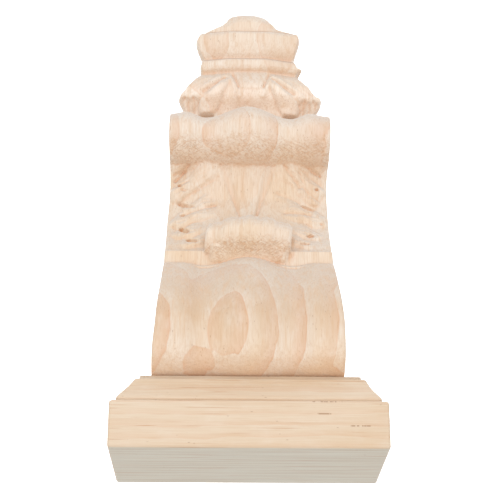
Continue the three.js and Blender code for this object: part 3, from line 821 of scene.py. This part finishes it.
# Rubberwood carved by a cutter and left raw: pale cream, its growth rings cut into ovals on the bulges
carvedLook = {
    "grain": "z",
    "pale": "#ecd9c5", "warm": "#e8cfb3", "bloom": "#f0e6da", "bloomShare": 0.3,
    "noises": {  # size across, through and along the grain in mm, lean in degrees, detail, roughness
        "board": ((22, 22, 60), 0, 1.0, 0.5),
        "swirl": ((11, 11, 24), 0, 3.0, 0.5),
        "ripple": ((2.4, 2.4, 6), 0, 2.0, 0.5),
        "jag": ((3.4, 60, 60), 0, 1.0, 0.5),
        "ringStrength": ((10, 10, 50), 0, 1.0, 0.5),
        "bloom": ((5, 5, 9), 0, 3.0, 0.6),
        "streak": ((1.5, 1.5, 26), 0, 2.0, 0.5),
        "fibre": ((0.5, 0.5, 7), 0, 3.0, 0.6),  # real ones are 0.03 mm wide: drawn coarse enough to show
        "vessel": ((0.4, 0.4, 9), 0, 2.0, 0.55),  # real ones are 0.2 mm wide: drawn coarse enough to show
        "poreGroups": ((3.1, 3.1, 9), 0, 1.0, 0.5),
        "dashes": ((40, 40, 0.75), 0, 1.0, 0.5),
        "unevenness": ((1.6, 1.6, 4), 0, 2.0, 0.5),
        "scratchOneWay": ((2.2, 1.2, 0.38), -28, 2.0, 0.5),
        "scratchOther": ((2.2, 1.2, 0.38), 28, 2.0, 0.5),
    },
    "hearts": [  # x, y, z of each set of rings, and how far its rings are moved inwards
        (8.5, -50.0, 53.5, 0.0), (40.0, -46.0, 57.0, -3.1), (18.5, -46.0, 81.0, -1.0),  # scroll
        (9.3, -34.5, -34.0, -2.5), (39.0, -31.0, -34.0, -2.5),  # lower roll
        (13.0, -17.5, -84.0, 3.0), (-13.0, -17.5, -85.0, -1.0),  # cup and knob
    ],
    "ringWidth": 11.0, "ringStart": 2.5, "ringDepth": 0.9, "ovalSlope": 0.6, "ovalReach": 30.0,
    "warp": 6.0, "ripple": 0.5, "ringBreak": 3.0,
    "latewood": "#daa27a", "ringStrength": 0.75, "rimShare": 0.42,
    "ringShades": [(0.0, 0.9), (0.025, 0.0), (0.4, 0.0), (0.75, 0.38), (0.94, 0.55), (0.985, 0.9)],
    "fainter": [(-27.0, 20.0, 0.8), (-110.0, -50.0, 0.45)],  # from z, to z, share
    "paintedLightBands": [  # from z, to z, fade, share, colour: painted shade over the scroll, painted light over the roll and bell
        (30.0, 57.0, 8.0, 0.62, "#cdaf8f"), (-110.0, -30.0, 8.0, 0.3, "#f2e6dc"),
        (-62.0, -48.0, 3.0, 0.7, "#fdf0e2"),
    ],
    "rimShadowLines": [(-90.5, 0.6, 0.8), (-76.0, 0.6, 0.6)], "rimShadowTint": "#b07f55",  # painted shadow lines at two rims: z, half height, share
    "streak": "#dcb792", "streakStrength": 0.4,
    "fibre": "#cda67c", "fibreStrength": 0.45, "fibreHeight": 0.08,
    "vessel": "#b98a5c", "vesselFrom": 0.65, "vesselShare": 0.5,
    "pore": "#9a6a42", "poreCell": (0.9, 0.9, 4.0), "poreSize": 0.14, "poreShare": 0.52,
    "poreStrength": 0.5, "poreDepth": 0.05, "poreRows": [],
    # painted shade: faces turned up, towards the cap, are browner
    "upRange": (0.25, 0.85), "upShadeShare": 0.2, "upShadeTint": "#e2b080",
    "upStreak": 0.0, "upStreakTint": "#a89a84",
    # painted sheen: faces turned down are greyed
    "downRange": (-0.12, -0.6), "downSheenShare": 0.6, "downSheenTint": "#d3cac1",
    "cavity": (0.5, 0.42), "hollowShadeShare": 0.55, "hollowShadeTint": "#d8925a",  # darker torn fibres, deepened by painted shade in the hollows
    "ridge": (0.52, 0.62), "ridgeShare": 0.1,  # painted highlight along raised edges
    "marked": [(3.0, 23.0, 0.6), (-38.0, -24.0, 0.55)], "markElsewhere": 0.2,  # from z, to z, share
    "markDepth": 0.14, "markShade": 0.6, "markTint": "#cf9664",
    "unevenness": 0.16, "roughness": (0.5, 0.62), "sheen": 0.35,
}
# Rubberwood planed flat: the grain runs across the cap in long straight streaks; its top carries a greyer
# painted shade
planedLook = dict(
    carvedLook, grain="x", pale="#e2cdb4", warm="#dcc3a5", bloomShare=0.15,
    noises=dict(
        carvedLook["noises"], streak=((0.9, 0.9, 55), 0, 2.0, 0.5), fibre=((0.4, 0.4, 14), 0, 3.0, 0.6),
        vessel=((0.42, 0.42, 34), 0, 2.0, 0.55)),
    hearts=[(-60.0, -90.0, 0.0, 0.0)], ringWidth=4.2, ringStart=0.0, ringDepth=1.0, ovalSlope=0.02,
    warp=4.0, ringBreak=0.0, ringStrength=0.3, rimShare=0.1, fainter=[],
    # a painted light band, from z 60 to 84.6
    paintedLightBands=[(60.0, 84.6, 0.5, 0.4, "#f2e4d3")], rimShadowLines=[],
    streak="#cf9f70", streakStrength=0.2, fibreStrength=0.35,
    vessel="#b9793f", vesselFrom=0.635, vesselShare=0.85, poreShare=0.6, poreStrength=0.65,
    poreRows=[  # start and end along the grain, place across it, share left blank
        (22.5, 33.0, 85.4, 0.5), (24.5, 29.0, 89.9, 0.35), (36.0, 43.0, 94.3, 0.45)],
    # painted shade: the top, turned up, is greyer
    upRange=(0.8, 0.95), upShadeShare=0.85, upShadeTint="#d8d4c3", upStreak=0.5, downSheenShare=0.0,
    hollowShadeShare=0.0, ridgeShare=0.0, marked=[], markElsewhere=0.0, unevenness=0.03,
)


studioLight = {
    "world": 0.74,
    "lamps": [  # name, place, aim, size, power
        ("softKey", (0.1, -1.15, -0.6), (0, 0, -0.05), 1.1, 2.9),
        ("softFill", (0.0, -1.85, 0.75), (0, 0, 0), 1.5, 11.6),
        ("floorWash", (0.0, 3.2, -0.16), (0, 3.2, -0.9), 4.4, 110.0),
    ],
    "floor": {"half": 12.0, "z": -0.9, "colour": "#f8f8f8", "roughness": 0.9},
}


def studio():
    scene = bpy.context.scene
    scene.view_settings.view_transform = "Standard"
    world = bpy.data.worlds.new("paleRoom")
    scene.world = world
    world.use_nodes = True
    background = world.node_tree.nodes["Background"].inputs
    background["Color"].default_value = (1, 1, 1, 1)
    background["Strength"].default_value = studioLight["world"]

    floorMesh = bpy.data.meshes.new("floor")
    half, z = studioLight["floor"]["half"], studioLight["floor"]["z"]
    floorMesh.from_pydata([(-half, -half, z), (half, -half, z), (half, half, z), (-half, half, z)],
                          [], [(0, 1, 2, 3)])
    floor = bpy.data.objects.new("floor", floorMesh)
    scene.collection.objects.link(floor)
    # Matt wall paint, rolled on: an even near white with no gloss
    paint = bpy.data.materials.new("rolledMattPaint")
    paint.use_nodes = True
    paintInputs = paint.node_tree.nodes["Principled BSDF"].inputs
    paintInputs["Base Color"].default_value = linearColour(studioLight["floor"]["colour"])
    paintInputs["Roughness"].default_value = studioLight["floor"]["roughness"]
    floorMesh.materials.append(paint)

    for name, place, aim, size, power in studioLight["lamps"]:
        light = bpy.data.lights.new(name, "AREA")
        light.size, light.energy = size, power
        lamp = bpy.data.objects.new(name, light)
        lamp.location = place
        lamp.rotation_euler = (Vector(aim) - lamp.location).to_track_quat("-Z", "Y").to_euler()
        scene.collection.objects.link(lamp)


viewpoint = {  # metres, degrees and the lens in millimetres
    "place": (0.0094, -0.532, 0.2359), "down": 23.444, "yaw": 1.145, "roll": 180.02, "lens": 101.66,
}


def camera():
    data = bpy.data.cameras.new("camera")
    data.lens, data.sensor_width, data.sensor_fit = viewpoint["lens"], 36, "HORIZONTAL"
    data.clip_end = 100
    made = bpy.data.objects.new("camera", data)
    turn = (Matrix.Rotation(math.radians(viewpoint["yaw"]), 4, "Z")
            @ Matrix.Rotation(math.radians(90 - viewpoint["down"]), 4, "X")
            @ Matrix.Rotation(math.radians(viewpoint["roll"]), 4, "Z"))
    made.matrix_world = Matrix.Translation(viewpoint["place"]) @ turn
    bpy.context.scene.collection.objects.link(made)
    bpy.context.scene.camera = made


camera()
studio()
print("camera and studio set")

carved = carvedBody()
carved.data.materials.clear()
carved.data.materials.append(woodMaterial("rawCarvedRubberwood", carvedLook))
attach(carved, "root")
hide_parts("carved_body")

top = capBlock()
top.data.materials.append(woodMaterial("rawPlanedRubberwood", planedLook))
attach(top, "root")
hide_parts("cap")
print("pieces made")
